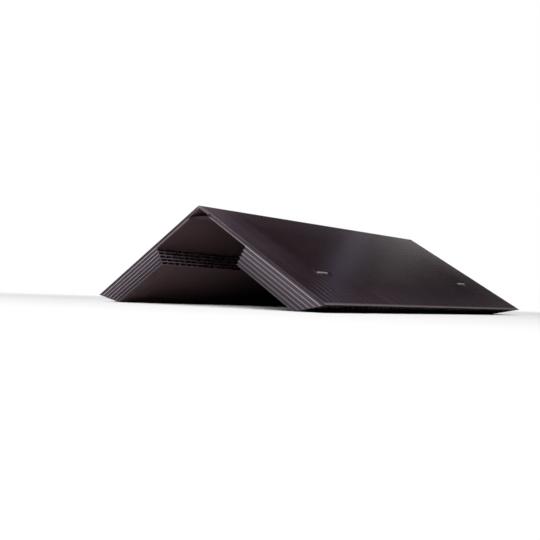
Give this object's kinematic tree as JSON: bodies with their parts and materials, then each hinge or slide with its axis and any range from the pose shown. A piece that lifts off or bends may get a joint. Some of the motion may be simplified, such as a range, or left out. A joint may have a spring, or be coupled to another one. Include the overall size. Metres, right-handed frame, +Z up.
{
  "type": "ridge vent",
  "caption": "Folded black fluted-plastic ridge vent: an inverted-V top sheet stapled over stacked fluted strips on both slopes, letting roof air out along the ridge.",
  "frame": {"origin": "centre of the footprint, on the floor that the eave corners of the lowest strips stand on", "axes": "+Y along the ridge, away from the gable end that the picture shows; +Z up; +X to the right slope"},
  "size_m": [0.2414, 0.3048, 0.0751],
  "materials": {
    "black_plastic": "satin black",
    "staple_wire": "bright galvanized"
  },
  "bodies": {
    "root": {"top_sheet": "black_plastic", "right_strip_1": "black_plastic", "right_strip_2": "black_plastic", "right_strip_3": "black_plastic", "right_strip_4": "black_plastic", "right_strip_5": "black_plastic", "left_strip_1": "black_plastic", "left_strip_2": "black_plastic", "left_strip_3": "black_plastic", "left_strip_4": "black_plastic", "left_strip_5": "black_plastic", "right_staple_1": "staple_wire", "right_staple_2": "staple_wire", "left_staple_1": "staple_wire", "left_staple_2": "staple_wire"}
  },
  "joints": []
}
